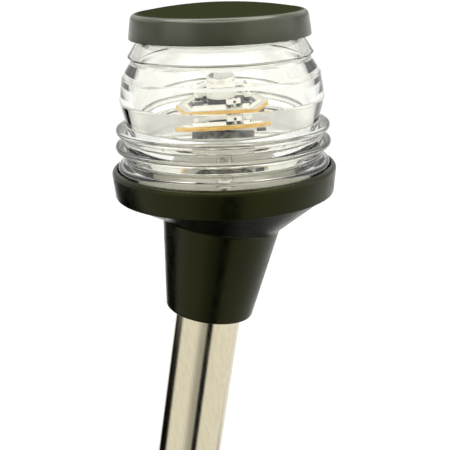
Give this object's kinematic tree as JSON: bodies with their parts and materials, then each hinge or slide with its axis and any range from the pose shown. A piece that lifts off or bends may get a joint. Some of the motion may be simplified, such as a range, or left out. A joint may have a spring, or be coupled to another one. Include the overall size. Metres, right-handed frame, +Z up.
{
  "type": "navigation light",
  "caption": "All-round navigation light: clear ribbed globe with three facets and two ribs round an LED board, under a cap, on a raked neck and a plug-in pole with a locking collar.",
  "frame": {"origin": "centre of the plug's foot, where the pole's axis leaves it", "axes": "+Z up, along the globe's axis; +X the way the pole leans as it rises; +Y away from the viewer who faces the light's front"},
  "size_m": [0.084, 0.0742, 0.256],
  "materials": {
    "clear_globe": "clear moulded polycarbonate, polished",
    "black_plastic": "moulded, satin",
    "collar_plastic": "moulded, fine grain",
    "seal_rubber": "matt",
    "stainless": "polished along its length",
    "polished_steel": "bright",
    "spring_steel": "dark spring temper",
    "white_plastic": "satin",
    "circuit_board": "amber laminate edge, white mask and grey copper on top",
    "led_package": "white package",
    "dark_component": "moulded epoxy",
    "aluminium_can": "satin",
    "brass_contact": "bright",
    "red_insulation": "smooth PVC",
    "black_insulation": "smooth PVC"
  },
  "bodies": {
    "housing": {"flange_ring": "black_plastic", "neck_socket": "black_plastic", "neck_screw": "stainless", "deck_plate": "white_plastic", "wire_grommet": "seal_rubber", "led_post": "polished_steel", "post_crown": "spring_steel", "led_board": "circuit_board", "board_rim": "white_plastic", "capacitor_base": "dark_component", "capacitor_can": "aluminium_can", "diode": "dark_component", "regulator": "dark_component", "pole_tube": "stainless", "plug_body": "black_plastic", "plug_pin": "stainless", "plug_contact_1": "brass_contact", "plug_contact_2": "brass_contact", "plug_seal": "seal_rubber", "wire_red": "red_insulation", "wire_black": "black_insulation", "led_1": "led_package", "led_2": "led_package", "led_3": "led_package", "led_4": "led_package", "deck_screw_1": "stainless", "deck_screw_2": "stainless", "deck_screw_3": "stainless"},
    "globe_seal_ring": {"globe_seal": "seal_rubber"},
    "globe": {"globe_lens": "clear_globe", "top_cap": "black_plastic", "cap_seal": "seal_rubber"},
    "collar_washer": {"collar_seal": "seal_rubber"},
    "collar": {"locking_collar": "collar_plastic"}
  },
  "joints": [
    {"name": "globe_lift", "type": "slide", "parent": "housing", "child": "globe_seal_ring", "axis": [0, 0, 1], "range_m": [0, 0.00151]},
    {"name": "globe_turn", "type": "hinge", "parent": "globe_seal_ring", "child": "globe", "pos_m": [0.03202, 0, 0.20064], "axis": [0, 0, 1], "range_deg": [0, 60]},
    {"name": "collar_slide", "type": "slide", "parent": "housing", "child": "collar_washer", "axis": [0.165, 0, 0.9863], "range_m": [0, 0.115]},
    {"name": "collar_turn", "type": "hinge", "parent": "collar_washer", "child": "collar", "pos_m": [0.0033, 0, 0.01973], "axis": [0.165, 0, 0.9863], "continuous": true}
  ],
  "couplings": [
    {"joint": "globe_lift", "follows": "globe_turn", "m_per_rad": 0.0014324}
  ]
}
